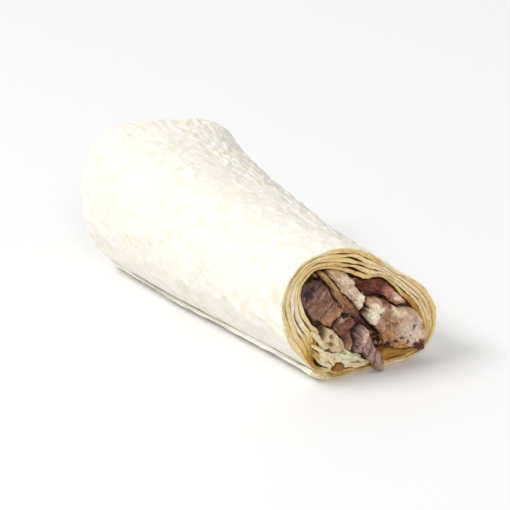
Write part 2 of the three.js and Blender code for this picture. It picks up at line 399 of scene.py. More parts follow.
def meat_look(name, fibre=(2.4, 0.34, 2.4), streaks=0.3):
    """Cooked, juicy meat. The "fibres" values are places along, across and into the slice, in millimetres."""
    look = Look(name, IOR=1.42, Subsurface_Weight=0.12, Subsurface_Radius=(1.0, 0.45, 0.3),
                Subsurface_Scale=0.0012, Specular_IOR_Level=0.5, Coat_Weight=0.25, Coat_Roughness=0.22)
    fibres = look.value("fibres", "Vector")
    stretched = look.node("Mapping", None, Vector=fibres, Scale=tuple(1 / size for size in fibre)).outputs[0]
    strands = look.node("TexNoise", Vector=look.bent(stretched, 0.8), Scale=1.0, Detail=5.0, Roughness=0.65)
    strands = strands.outputs["Fac"]
    blots = look.grain(1.3, 4.0, distortion=0.5)
    grains = look.grain(0.42, 3.0, distortion=0.3)
    tint = look.scaled(look.value("tint", "Color"), look.ranged(strands, 0.35, 0.65, 1 - streaks, 1 + streaks))
    for mask, low, high, share, factor in ((blots, 0.5, 0.68, 0.45, 0.55), (blots, 0.46, 0.3, 0.45, 1.5),
                                           (grains, 0.56, 0.68, 0.75, 1.7), (grains, 0.43, 0.3, 0.7, 0.45)):
        tint = look.mix(look.ranged(mask, low, high, 0, share), tint, look.scaled(tint, factor))
    relief = look.maths("ADD", strands, look.maths("MULTIPLY", grains, 0.7))
    relief = look.maths("ADD", relief, look.maths("MULTIPLY", blots, 0.5))
    return look.finished(tint, look.ranged(blots, 0.3, 0.7, 0.32, 0.62), relief, 0.45, 1.0)


def leaf_look(name, gloss=0.35):
    look = Look(name, IOR=1.38, Subsurface_Weight=0.3, Subsurface_Radius=(1.0, 0.9, 0.4),
                Subsurface_Scale=0.0018, Specular_IOR_Level=0.5, Coat_Weight=0.2, Coat_Roughness=0.2)
    veins = look.grain(1.2, 4.0, distortion=0.6)
    tint = look.coated(look.value("tint", "Color"), veins, 0.48, 0.68, 0.4, (0.88, 0.8, 0.58, 1))
    relief = look.maths("ADD", veins, look.maths("MULTIPLY", look.grain(0.5, 3.0), 0.5))
    return look.finished(tint, look.ranged(veins, 0.3, 0.7, gloss - 0.1, gloss + 0.15), relief, 0.3, 0.8)


BREAD = bread_look()
MEAT = meat_look("meat")
PALE_MEAT = meat_look("meat_pale", fibre=(1.3, 0.5, 1.3), streaks=0.12)
LEAF = leaf_look("cabbage")
TOMATO = leaf_look("tomato", gloss=0.28)


# ---- Flatbread: one sheet -------------------------------------------------------------------------------

SHEET_WIDTH_AT_SKIN = 25.0  # millimetres along the skin for each radian rolled, for its texture


def layers_outside(rolled):
    turns = rolled / TURN
    whole = np.floor(turns)
    return whole + smooth(turns - whole, 1 - DIVE, 1)


NOISE_RADIUS = 20.0  # of the circle on which noise round the roll is taken
NOISE_ALONG = 0.5  # the noise's features are longer along the roll than round it by 1 over this


def ring_place(angle, back, shift=0.0):
    """A place for noise that layers over each other share, unless each has its own shift."""
    return stacked(NOISE_RADIUS * np.cos(angle) + shift, NOISE_ALONG * np.asarray(back, float),
                   NOISE_RADIUS * np.sin(angle) + shift)


def along_sheet(rolled, back, apart=9.0):
    """A place for noise that runs smoothly along the sheet and differs from layer to layer."""
    return ring_place(FREE_EDGE + rolled, back, apart * rolled / TURN)


FREE_EDGE_ROUNDING = 0.35
FREE_EDGE_SPAN = (-0.006, 0.018)  # where, rolled, the free edge is rounded


def pressed(angle):
    """1 on the upper right, where the layers lie tightest."""
    return bump_at(28, angle, 0.9)


def sheet_outside(rolled, back):
    """The sheet's outer side. Under the first turn its layers wave, together and each on its own."""
    angle = FREE_EDGE + rolled
    pitch = wall_thickness(angle) / LAYERS
    own = 0.34 * pitch * noise(along_sheet(rolled, back), 6.0, 3, 2) * (1 - 0.5 * pressed(angle))
    together = 0.11 * layers_outside(rolled) * noise(ring_place(angle, back), 7.0, 4, 2)
    wave = noise(stacked(0 * angle, back, 0), 13.0, 6, 2)
    lifted = (0.6 + 0.4 * np.exp(-back / FLARE_LENGTH) + 0.3 * wave) * (1 - 0.7 * smooth(back, 70, 125))
    flare = FLARE * lifted * np.exp(-rolled / FLARE_ANGLE)
    laid = roll_radius(angle, back) - pitch * layers_outside(rolled)
    waves = (own + together) * smooth(rolled, TURN, TURN + 0.7)
    thinned = FREE_EDGE_ROUNDING * (1 - smooth(rolled, *FREE_EDGE_SPAN))
    return np.minimum(laid + waves + flare, radius_to_table(angle, back)) - thinned


SHEET_THICKNESS = 1.5
# Places where the layer inside hangs away from the sheet: turn, direction, half width and share of the room.
TORN = ((3, 96, 10, 0.6), (2, 62, 8, 0.3), (3, 140, 14, 0.3), (2, 176, 12, 0.35), (3, 14, 9, 0.3))


def sheet_thickness(rolled, back):
    angle = FREE_EDGE + rolled
    room = sheet_outside(rolled, back) - sheet_outside(rolled + TURN, back)
    hollow = 0.45 * smooth(noise(along_sheet(rolled, back, 14), (6, 9, 6), 5, 2), 0.05, 0.75)
    hollow = hollow * (1 - 0.7 * pressed(angle))
    for turn, direction, half_width, share in TORN:
        middle = turn * TURN + np.mod(math.radians(direction) - FREE_EDGE, TURN)
        hollow = np.maximum(hollow, share * np.exp(-((rolled - middle) / math.radians(half_width)) ** 2))
    limit = SHEET_THICKNESS + 2.0 * bump_at(LOW_RIGHT, angle, 0.35) + 0.5 * bump_at(INNER_END_SIDE, angle, 0.3)
    hollow = hollow * smooth(rolled, 0.1, 0.5)
    edge = 0.8 + 0.2 * smooth(rolled, *FREE_EDGE_SPAN)
    end = 0.35 + 0.65 * smooth(ROLLED_ANGLE - rolled, 0, 0.12)
    return np.minimum(room * (0.97 - hollow), limit) * edge * end


CORNER = 0.3  # how far the cut edge's corners are rounded back, in millimetres
EDGE_SHARES = np.array([0.05, 0.14, 0.28, 0.42, 0.5, 0.58, 0.72, 0.86, 0.95])


def cut_line(rolled):
    """How far behind the cut plane the knife left the sheet's edge."""
    torn = 0.5 * noise(along_sheet(rolled, 0), 7.0, 8, 2) + 0.16 * noise(along_sheet(rolled, 0), 1.8, 9, 2)
    return 0.25 + 0.08 * rolled / TURN + torn


def behind_cut(rolled, back, reach):
    """How far the sheet's sides are moved back by the knife, fading away from the cut over a reach."""
    return (cut_line(rolled) + CORNER * np.exp(-back / CORNER)) * np.exp(-back / reach)


def soaking(rolled):
    """How much juice the sheet took up: more near the filling, most in the folds beside it."""
    angle = FREE_EDGE + rolled
    layer = rolled / TURN
    low_right, pocket, right = bump_at(LOW_RIGHT, angle, 0.42), bump_at(211, angle, 0.2), bump_at(-8, angle, 0.5)
    outermost = 0.26 * bump_at(50, angle, 1.2) * (1 - smooth(layer, 0.9, 1.6))
    dry = 0.22 * pressed(angle) + 0.28 * bump_at(168, angle, 0.5) * smooth(layer, 1.5, 2.6)
    inside = smooth(layer, 0.7, 2.0)
    juicy = 0.75 * low_right + 0.6 * pocket + 0.5 * right * smooth(layer, 3.4, 3.8) - dry
    return 0.06 * layer + juicy * inside + outermost


def cut_edge(shape, rolled, outside, thick):
    """The sheet's edge at the cut: pale crumb, split here and there, between browner skins."""
    share = np.repeat(EDGE_SHARES[:, None], len(rolled), 1)
    place = along_sheet(rolled, 0)
    split = smooth(noise(place, 5.0, 66, 2), -0.1, 0.5)
    at = placed(FREE_EDGE + rolled + 0 * share, outside - thick * share, 0 * share)
    crumb = noise(at + 40 * np.floor(rolled / TURN)[None, :, None], 0.9, 67, 3, 0.6)
    middle = 0.5 + 0.12 * noise(place, 4.0, 68, 2)
    groove = split * np.exp(-((share - middle) / 0.07) ** 2)
    at[..., 1] += cut_line(rolled) + CORNER * np.abs(2 * share - 1) ** 3 + 0.4 * groove - 0.12 * crumb
    skin_side = smooth(np.abs(2 * share - 1), 0.55, 0.95)
    soak = 0.26 + soaking(rolled) + 0.24 * skin_side + 0.25 * groove + 0.2 * crumb
    return bread_side(shape, at, 0.5 * groove, soak)


def bread_side(shape, grid, toast, soak, closed=False):
    """Adds a grid of points on the sheet, painted. Returns their vertices in the same grid."""
    rows, columns = grid.shape[:2]
    points = grid.reshape(-1, 3)
    toast, soak = (np.broadcast_to(value, (rows, columns)).ravel() for value in (toast, soak))
    start = shape.add(points, tint=bread_paint(points, toast, soak))
    shape.faces += grid_faces(rows, columns, start, closed)
    return np.arange(start, start + len(points)).reshape(rows, columns)


def join_sides(shape, outer, inner, edge):
    """Closes the sheet between its two sides: over its edge at the cut, and straight along the other three."""
    shape.faces += zipped(outer[0], edge[0]) + zipped(edge[-1], inner[0]) + zipped(outer[-1], inner[-1])
    for column in (0, -1):
        shape.faces += zipped(outer[:, column], inner[:, column])
        shape.faces.append(np.r_[outer[0, column], edge[:, column], inner[0, column]].tolist())


def bread_paint(points, toast, soak):
    """Colours of the sheet at points on it. toast and soak go from 0 to 1."""
    mottle = noise(points, 6.0, 21, 4, 0.6)
    speck = noise(points, 1.7, 22, 3, 0.6)
    warm = noise(points, 14.0, 23, 2)
    return painted(
        len(points), "f6f3e9",
        (smooth(warm, -0.3, 0.7) * 0.35, "f3ecd8"),
        (smooth(mottle, 0.0, 0.75) * 0.45, "ece2c8"),
        (smooth(speck, 0.2, 0.9) * 0.3, "e3d6b4"),
        (smooth(toast, 0.05, 0.6) * 0.4, "e6d8b4"),
        (smooth(toast, 0.6, 1.2) * 0.6, "cfae7c"),
        (smooth(soak, 0.0, 0.45) * 0.9, "e6ca84"),
        (smooth(soak, 0.4, 0.85) * 0.9, "cea252"),
        (smooth(soak, 0.75, 1.2) * 0.9, "c38c38"),
    )


BLISTERS = 520


def blisters(across, along):
    """Bubbles that rose in the sheet as it baked: domes, and rings where one fell in. Returns height and
    toasting of the skin at places across and along it, in millimetres."""
    draw = np.random.default_rng(5)
    place = stacked(across, 0, along)
    warped = place + 0.9 * np.stack([noise(place, 4.0, 31 + k, 2) for k in range(3)], -1)
    height, toast = np.zeros(across.shape), np.zeros(across.shape)
    reach = (across.min(), across.max(), along.min(), along.max())
    for _ in range(BLISTERS):
        x, y = draw.uniform(*reach[:2]), draw.uniform(*reach[2:])
        size = min(draw.lognormal(0.85, 0.42), 6.5)
        lift = draw.uniform(0.1, 0.2) * size ** 0.7
        fallen = draw.random() < 0.55
        lean = draw.uniform(0, TURN)
        brown = min(draw.random() ** 6, 0.45)
        near = (np.abs(across - x) < size * 1.9) & (np.abs(along - y) < size * 1.9)
        dx, dy = warped[near][:, 0] - x, warped[near][:, 2] - y
        away = np.hypot(dx, dy) / size
        if fallen:
            open_side = 0.5 + 0.5 * np.cos(np.arctan2(dy, dx) - lean)
            shape = np.exp(-((away - 0.85) / 0.2) ** 2) * (0.35 + 0.65 * open_side) - 0.25 * (away < 0.7)
        else:
            shape = np.clip(1 - away ** 2, 0, 1) ** 1.5
        height[near] += lift * shape
        toast[near] = np.maximum(toast[near], np.clip(shape, 0, 1) * (0.25 + 0.9 * brown))
    return height, toast


def skin(rolled, back, place):
    """Relief and toasting of the outer side, with painted shade in the crumples' valleys. Returns millimetres
    outwards, and 0 to 1.
    """
    across = rolled * SHEET_WIDTH_AT_SKIN
    lift, toast = blisters(across, back)
    near_end = smooth(back, LENGTH - 45, LENGTH - 2)
    gathers = ridged(stacked(across, 0, back * 0.2), 6.0, 41, 2) ** 2
    creases = ridged(stacked(across + back * 0.5, 0, (back - across * 0.4) * 0.4), 9.0, 42, 2) ** 4
    lift = lift + near_end * 0.5 * (gathers - 0.3) + 0.45 * creases
    crumpled = bump_at(45, FREE_EDGE + rolled, 0.9)
    crumples = ridged(place, (3.4, 4.6, 3.4), 46, 3)
    lift = lift + 0.7 * noise(place, 17.0, 43, 2) + 0.16 * noise(place, 3.2, 44, 3, 0.6)
    lift = lift + 0.5 * crumpled * (crumples - 0.5)
    # Darker in the crumples' valleys: painted shade, added to the toasting.
    shaded_valleys = smooth(-lift + 0.3 * noise(place, 2.0, 45, 3, 0.6), -0.1, 0.6)
    toast = toast * (1 - 0.4 * near_end) + 0.25 * near_end * gathers
    return lift, np.maximum(toast, 0.75 * shaded_valleys * crumpled)


SKIN_COLUMNS, SKIN_ROWS = 320, 170
INNER_COLUMNS = 110
CROWDING = 1.04  # crowds the columns a little towards the free edge
FACE_ROWS = 46
OVERLAP = 0.42  # how far, in radians, the first turn runs on under its free edge
FACE_START = 0.72  # of the rounded end's quarter turn, where the sheet folds in
FOLD_SHARE = 0.4  # of the roll's radius, how far in the folded sheet reaches
FOLDED_THICKNESS = 2.2
UNDER_FOLD = 2.0  # how far inside the shut end's outer layer the overlapped one lies


def skin_rows():
    """Rows of the outer turn from the cut to its folded-in edge: back, share of the radius, and how far the
    surface has turned from facing sideways to facing backwards."""
    first = np.array([0.0, 0.12, 0.35])
    wall = np.linspace(0.75, LENGTH - ROUNDING, SKIN_ROWS - len(first))
    turned = np.linspace(0, FACE_START, 15)[1:]
    corner = LENGTH - ROUNDING + ROUNDING * np.sin(turned * math.pi / 2)
    inwards = np.linspace(0, 1, FACE_ROWS + 1)[1:]
    share = 1 - (1 - FOLD_SHARE) * inwards
    dome = 1.4 * np.sin(inwards * math.pi * 0.55) - 3.4 * smooth(inwards, 0.72, 1.0)
    back = np.concatenate([first, wall, corner, corner[-1] + dome])
    shares = np.concatenate([np.ones(SKIN_ROWS + len(corner)), share])
    facing = np.concatenate([np.zeros(SKIN_ROWS), turned, mixed(FACE_START, 1, smooth(inwards, 0, 0.2))])
    return back, shares, facing, corner[-1]


def wandering(rolled, back):
    """Moves the sheet's free edge to and fro by a millimetre or two."""
    line = noise(stacked(0, back, 0), 26.0, 56, 3) * smooth(back, 0, 12)
    return rolled + 0.085 * line * (1 - smooth(rolled, 0, 0.5))


def turn_side(columns, rows, profile):
    """Places on one side of the outer turn: rolled, back, share of the radius, how far it has turned from facing
    sideways to facing backwards, where along the wall its radius is taken, and how far the knife moved it."""
    back, share, facing, corner = profile
    rolled, grid_back = np.meshgrid(columns, back[rows])
    rolled = wandering(rolled, grid_back)
    share, quarter = (np.broadcast_to(part[rows][:, None], rolled.shape) for part in (share, facing * math.pi / 2))
    at_wall = np.where(share < 1, corner, np.minimum(grid_back, corner))
    return rolled, grid_back, share, quarter, at_wall, behind_cut(rolled, grid_back, 2.5)


def under_overlap(rolled):
    """1 where the outer turn has run on under its free edge."""
    return smooth(rolled, TURN - 0.35, TURN - 0.02)


def outer_turn():
    profile = skin_rows()
    shares = np.linspace(0, 1, SKIN_COLUMNS)[1:] ** CROWDING
    columns = np.r_[0, 0.003, 0.007, 0.012, shares * (TURN + OVERLAP)]
    rows = np.arange(len(profile[0]))
    rolled, back, share, quarter, at_wall, line = turn_side(columns, rows, profile)
    angle = FREE_EDGE + rolled
    radius = sheet_outside(rolled, at_wall) * share
    flat = placed(angle, radius, back)
    lift, toast = skin(rolled, np.minimum(back + (1 - share) * 25.0, LENGTH + 14), flat)
    lift = lift * (1 - 0.85 * smooth(rolled, TURN - 0.3, TURN - 0.05)) * smooth(back + 1.5, 0, 3)
    lift = lift * smooth(rolled, -0.15, 0.15) * (0.2 + 0.8 * smooth(flat[..., 2], 0.5, 7))
    lift = np.maximum(lift, -0.6 * sheet_thickness(rolled, at_wall))
    pleats = ridged(stacked(NOISE_RADIUS * np.cos(angle), NOISE_RADIUS * np.sin(angle), share * 6), 7.0, 51, 2) ** 2
    lift = lift + (share < 1) * 1.3 * (pleats - 0.4) * smooth(1 - share, 0.02, 0.3)
    sunk = UNDER_FOLD * under_overlap(rolled)
    outer = placed(angle, radius + lift * np.cos(quarter), back + (lift - sunk) * np.sin(quarter) + line)
    outer[..., 2] = np.maximum(outer[..., 2], 0.02)
    shape = Shape()
    skin_grid = bread_side(shape, outer, toast, 0.3 * np.exp(-back / 0.7))

    inner_columns = np.r_[0, 0.007, np.linspace(0, 1, INNER_COLUMNS)[1:] ** CROWDING * (TURN + OVERLAP)]
    kept = np.unique(np.r_[0, 1, 2, 3, 8, 20:SKIN_ROWS:10, SKIN_ROWS:len(rows):3, len(rows) - 1])
    rolled, back, share, quarter, at_wall, line = turn_side(inner_columns, kept, profile)
    thick = sheet_thickness(rolled, at_wall)
    radius = sheet_outside(rolled, at_wall) * share - thick * np.cos(quarter)
    thick = np.maximum(thick, FOLDED_THICKNESS * np.sin(quarter))
    thick = thick + UNDER_FOLD * under_overlap(rolled) * np.sin(quarter)
    inner = placed(FREE_EDGE + rolled, radius, back - thick * np.sin(quarter) + line)
    inner[..., 2] = np.maximum(inner[..., 2], 0.3)
    under_grid = bread_side(shape, inner, 0, 0.45 * smooth(rolled, 0.1, 0.8))

    edge = cut_edge(shape, columns, sheet_outside(columns, 0 * columns), sheet_thickness(columns, 0 * columns))
    join_sides(shape, skin_grid, under_grid, edge)
    return shape.piece("flatbread_outer", BREAD, "flatbread", ["flatbread"], sharp=50)


def inner_layers():
    rolled = np.linspace(TURN + OVERLAP - 0.03, ROLLED_ANGLE, 1100)
    back = np.array([0, 0.3, 0.8, 1.6, 3, 5, 9, 16, 28, 45, 70, 100, FILLING_END + 0.6])
    grid_rolled, grid_back = np.meshgrid(rolled, back)
    angle = FREE_EDGE + grid_rolled
    outside = sheet_outside(grid_rolled, grid_back)
    thick = sheet_thickness(grid_rolled, grid_back)
    line = grid_back + behind_cut(grid_rolled, grid_back, 3)
    shape, sides = Shape(), []
    for radius, soak in ((outside, 0.3), (outside - thick, 0.42)):
        points = placed(angle, radius, line)
        wet = 0.25 * noise(points, 6.0, 71, 2) + 0.25 * smooth(grid_back, 0, 6)
        sides.append(bread_side(shape, points, 0, soak + soaking(grid_rolled) + wet))
    join_sides(shape, *sides, cut_edge(shape, rolled, outside[0], thick[0]))
    return shape.piece("flatbread_layers", BREAD, "flatbread", ["flatbread"], sharp=50)


SPIRAL_SHARE = 0.62  # of the roll's radius
SPIRAL_TURNS, SPIRAL_STEP = 2.0, 2.3


def end_fold():
    """The sheet's inner folds, as a low spiral inside the shut end."""
    grid_angle, grid_share = np.meshgrid(around(180), np.linspace(0.0, SPIRAL_SHARE, 44)[1:])
    turn = np.mod(grid_share / SPIRAL_SHARE * SPIRAL_TURNS - grid_angle / TURN + 0.5, 1)
    fold = np.sqrt(np.clip(1 - turn ** 2, 0, 1)) * SPIRAL_STEP
    edge = sheet_outside(np.mod(grid_angle - FREE_EDGE, TURN), LENGTH - 1.5)
    place = placed(grid_angle, edge * grid_share, LENGTH - 4.0)
    rough = 0.5 * noise(place, 6.0, 81, 3) + 0.2 * noise(place, 2.0, 82, 2)
    creases = ridged(stacked(8 * np.cos(grid_angle), 8 * np.sin(grid_angle), grid_share * 9), 4.0, 83, 2) ** 2
    top = LENGTH - 5.0 + fold * smooth(grid_share, 0.02, 0.12) + rough + 0.6 * creases
    points = placed(grid_angle, edge * grid_share, top)
    shape = Shape()
    bread_side(shape, points, 0.5 * creases, 0.15 + 0.25 * smooth(turn, 0.8, 1.0), closed=True)
    rows, columns = grid_angle.shape
    for first, depth in ((0, 4.2), ((rows - 1) * columns, 12.0)):
        centre = placed(0.0, 0.0, LENGTH - depth)[None]
        shape.fan(first, columns, shape.add(centre, tint=bread_paint(centre, np.zeros(1), np.zeros(1))))
    return shape.piece("flatbread_end", BREAD, "flatbread", ["flatbread"], sharp=70)


# ---- Filling --------------------------------------------------------------------------------------------

# Slices and shreds as they lie at the cut, nearly as in the CAD: centre, half sizes, slope, how far they stand
# out, and how hard they press on their neighbours.
Lie = namedtuple("Lie", "x z long thick slope out press")
PIECES = {
    "kebab_slice_left": Lie(-12.0, 4.9, 9.2, 5.5, -64, -1.0, 0.5),
    "kebab_strip": Lie(-3.8, 3.6, 15.0, 2.1, -54, -0.6, 1.3),
    "kebab_slice_top": Lie(-4.0, 8.3, 10.5, 3.3, -52, 0.6, 0.9),
    "kebab_slice_dark": Lie(7.3, 5.3, 9.9, 4.0, -31, -1.2, 0.5),
    "kebab_chunk_right": Lie(9.1, -4.0, 12.9, 6.8, -41, 3.2, 0.2),
    "kebab_slice_middle": Lie(-5.3, -4.0, 7.0, 4.7, -58, -0.6, 0.2),
    "kebab_curl": Lie(-0.4, -10.6, 8.8, 3.5, -60, 2.3, 0.8),
    "cabbage_leaf": Lie(-11.8, -5.4, 7.0, 4.4, -50, 0.6, 0.3),
    "cabbage_shred_left": Lie(-14.8, -10.4, 6.9, 4.1, -38, 0.8, 0.1),
    "cabbage_shred_low": Lie(-4.4, -13.6, 8.8, 3.6, -12, 0.8, 0.3),
    "tomato_piece": Lie(-9.3, -14.4, 2.4, 2.0, -70, 1.4, 1.6),
}
# Pieces with less rounded corners than the others' CORNER_SHARE.
SQUARER = {"kebab_slice_left": 0.5, "cabbage_leaf": 0.6, "cabbage_shred_left": 0.5}
NARROWING = {"kebab_strip": 0.6}  # share of its thickness that it loses towards its lower end
RAGGED = {"kebab_chunk_right": 1.3, "kebab_curl": 0.8, "kebab_slice_dark": 0.6}  # depth of bites out of the outline
RAYS, RINGS = 180, 46
MARCH_STEP = 0.08


UNEVENNESS = 0.8


def distance_to(piece, x, z):
    lie = PIECES[piece]
    slope = math.radians(lie.slope)
    along = (x - lie.x) * math.cos(slope) + (z - lie.z) * math.sin(slope)
    across = np.abs((z - lie.z) * math.cos(slope) - (x - lie.x) * math.sin(slope))
    thick = lie.thick * (1 - NARROWING.get(piece, 0) * np.clip(along / lie.long, 0, 1))
    corner = np.minimum(thick, lie.long) * SQUARER.get(piece, CORNER_SHARE)
    dx, dz = np.abs(along) - lie.long + corner, across - thick + corner
    return np.hypot(np.maximum(dx, 0), np.maximum(dz, 0)) + np.minimum(np.maximum(dx, dz), 0) - corner


def uneven(x, z, size, seed, octaves):
    """Places in the cut, moved a little by noise."""
    place = stacked(x, 0, z)
    return (x + UNEVENNESS * noise(place, size, seed, octaves),
            z + UNEVENNESS * noise(place, size, seed + 1, octaves))


def belongs(piece, x, z):
    moved = uneven(x, z, 4.2, 97, 2)
    own = distance_to(piece, *moved)
    inside = (own < 0) & (np.hypot(x, z) < room_radius(np.arctan2(z, x), 0.0))
    for other, lie in PIECES.items():
        if other != piece:
            inside &= own - PIECES[piece].press + GAP < distance_to(other, *moved) - lie.press
    return inside


def outline_of(piece):
    """Directions from the piece's centre, and how far it reaches in each."""
    lie = PIECES[piece]
    turn = around(RAYS)
    rays = np.stack([lie.long * np.cos(turn), lie.thick * np.sin(turn)], -1)
    rays /= np.linalg.norm(rays, axis=1)[:, None]
    c, s = math.cos(math.radians(lie.slope)), math.sin(math.radians(lie.slope))
    rays = rays @ np.array([[c, s], [-s, c]])
    reach = np.arange(1, 260) * MARCH_STEP
    inside = belongs(piece, lie.x + rays[:, :1] * reach, lie.z + rays[:, 1:] * reach)
    steps = np.argmin(np.column_stack([inside, np.zeros(len(rays), bool)]), axis=1)
    return rays, steps * MARCH_STEP


def carried(x, z, back):
    """Section points of the cut, moved to another distance behind it."""
    angle = np.arctan2(z, x)
    deep = np.maximum(back, 0)
    stretch = room_radius(angle, deep) / room_radius(angle, 0.0)
    return placed(angle, np.hypot(x, z) * stretch, deep) + stacked(0, back - deep, 0)


class Cap:
    """The cut end of a piece: places on it, in the plane of the cut and along the piece's own slope."""

    def __init__(self, name):
        self.lie = PIECES[name]
        x, z, slope = self.lie.x, self.lie.z, math.radians(self.lie.slope)
        rays, reach = outline_of(name)
        rim = stacked(x + rays[:, 0] * reach, 0, z + rays[:, 1] * reach)
        ragged = 0.45 * np.abs(noise(rim, 1.3, 96, 3)) + RAGGED.get(name, 0) * np.abs(noise(rim, 3.2, 99, 2))
        reach = np.maximum(reach - 0.02 - ragged, 0.3)
        ring = 1 - (1 - np.linspace(0, 1, RINGS + 1)[1:]) ** 1.5
        self.x = (x + ring[:, None] * (rays[:, 0] * reach)[None, :]).ravel()
        self.z = (z + ring[:, None] * (rays[:, 1] * reach)[None, :]).ravel()
        self.to_edge = ((1 - ring)[:, None] * reach[None, :]).ravel()
        self.along = (self.x - x) * math.cos(slope) + (self.z - z) * math.sin(slope)
        self.across = (self.z - z) * math.cos(slope) - (self.x - x) * math.sin(slope)
        self.place = stacked(self.along, self.across, 0)
        self.moved_x, self.moved_z = uneven(self.x, self.z, 2.2, 93, 3)

    def painted(self, base, *coats):
        return painted(len(self.x), base, *coats)

    def noise(self, size, seed, octaves=1):
        """Noise on the cut end. A pair of sizes is along and across the piece."""
        return noise(self.place, size if isinstance(size, (int, float)) else (*size, 1), seed, octaves)

    def folds(self, along, across):
        return ridged(self.place, (along, across, 1), 6, 2)

    def cracks(self, along, across, seed=9):
        """1 along thin cracks here and there, running along the piece."""
        lines = ridged(self.place, (along * 1.5, across * 1.4, 1), seed, 3) ** 7
        return lines * smooth(self.noise(2.6, seed + 50), -0.1, 0.45)

    def spots(self, *spots, soft=0.5):
        """1 in several round spots, given by place and radius."""
        return np.clip(sum(self.spot(x, z, radius, soft) for x, z, radius in spots), 0, 1)

    def spot(self, x, z, radius, soft=0.5):
        """1 in a round spot at a place on the cut, fading over its rim."""
        away = np.hypot(self.moved_x - x, self.moved_z - z)
        return 1 - smooth(away, radius * (1 - soft), radius * (1 + soft))

    def seared_and_shaded(self, depth=0.9):
        """1 along the piece's outline, fading towards its paler inside: its browned outside, and painted shade in the
        crevice round it.
        """
        return 1 - smooth(self.to_edge + 0.5 * self.noise(1.6, 90, 2), 0, depth)


SIDE_DEPTHS = np.array([0.4, 0.9, 1.6, 2.6, 4.5, 8, 14, 25, 45, 80, 112])


def filling(name, look, material, slot, edge, hang=None):
    """One piece of the filling. look(cap) gives relief in millimetres and colours over its cut end. hang moves
    what stands out of the cut near one place: that place, its radius, and how far it moves."""
    cap = Cap(name)
    lie = cap.lie
    relief, tint = look(cap)
    edge = edge * np.clip(1 + 0.5 * cap.noise(3.0, 92, 2), 0.4, 1.8)
    fall = 1.5 * (edge - np.sqrt(np.clip(edge ** 2 - np.clip(edge - cap.to_edge, 0, edge) ** 2, 0, None)))
    back = -(lie.out + relief * smooth(cap.to_edge, -0.8, 1.2)) + fall

    def hung(x, z, back):
        if not hang:
            return carried(x, z, back)
        at_x, at_z, radius, move_x, move_z = hang
        pull = np.exp(-((x - at_x) ** 2 + (z - at_z) ** 2) / radius ** 2) * np.clip(-back / lie.out, 0, 1.3)
        return carried(x + move_x * pull, z + move_z * pull, back)

    shape = Shape()
    shape.add(hung(cap.x, cap.z, back), tint=tint, fibres=stacked(cap.along, cap.across, back))
    middle_back = back[:RAYS].mean()
    middle = shape.add(carried(lie.x, lie.z, middle_back), tint=tint[:RAYS].mean(0), fibres=[0, 0, middle_back])
    shape.faces += grid_faces(RINGS, RAYS, 0, closed=True)
    shape.fan(0, RAYS, middle)
    before = (RINGS - 1) * RAYS
    x, z, along, across, rim_back, rim_tint = (
        part[before:] for part in (cap.x, cap.z, cap.along, cap.across, back, tint))
    end = FILLING_END + lie.out
    for depth in (*SIDE_DEPTHS, end):
        row_back = np.minimum(rim_back + depth, FILLING_END)
        uneven_side = noise(stacked(x * 2, z * 2, row_back * 0.3), 2.0, 95, 2)
        size = (FAR_TAPER if depth == end else 1) * (1 - 0.03 * smooth(depth, 0, 2) * (1 + uneven_side))
        # The sides darken to 0.4 of the cut end's colour within 2.5 mm behind it: painted shade inside the roll.
        after = shape.add(hung(lie.x + (x - lie.x) * size, lie.z + (z - lie.z) * size, row_back),
                          tint=mixed(rim_tint, rim_tint * 0.4, smooth(depth, 0, 2.5)),
                          fibres=stacked(along, across, row_back))
        shape.wall(before, after, RAYS)
        before = after
    shape.fan(before, RAYS, shape.add(carried(lie.x, lie.z, FILLING_END + 0.8), tint=tint[0],
                                      fibres=[0, 0, FILLING_END]))
    return shape.piece(name, material, slot, [name], sharp=80)


ROUGHNESS = 0.5


def lump(shape, x, z, back, size, code, seed, squash, turn):
    """A rough bead at a place on the cut, such as a scrap of meat or a crumb of char."""
    ball = bmesh.new()
    bmesh.ops.create_icosphere(ball, subdivisions=3, radius=1.0)
    points = np.array([v.co[:] for v in ball.verts])
    faces = [[v.index for v in f.verts] for f in ball.faces]
    ball.free()
    points = points * (1 + ROUGHNESS * noise(points + seed, 0.8, seed, 3))[:, None] * size * np.array(squash)
    c, s = math.cos(turn), math.sin(turn)
    px, pz = points[:, 0] * c - points[:, 2] * s, points[:, 0] * s + points[:, 2] * c
    made = carried(x + px, z + pz, back + points[:, 1])
    shade = noise(made, size * 0.7, seed + 1, 3)
    tint = painted(len(made), code, (smooth(shade, 0, 0.8) * 0.5, "3a2015"),
                   (smooth(-shade, 0.1, 0.9) * 0.5, "b48c6c"))
    start = shape.add(made, tint=tint, fibres=np.column_stack([px, pz, points[:, 1]]))
    shape.faces += [[start + i for i in face] for face in faces]


def waves(phase, sharpness=1.0):
    """Ridges of height 1 at each whole phase, with grooves between them."""
    return (0.5 + 0.5 * np.cos(TURN * phase)) ** sharpness


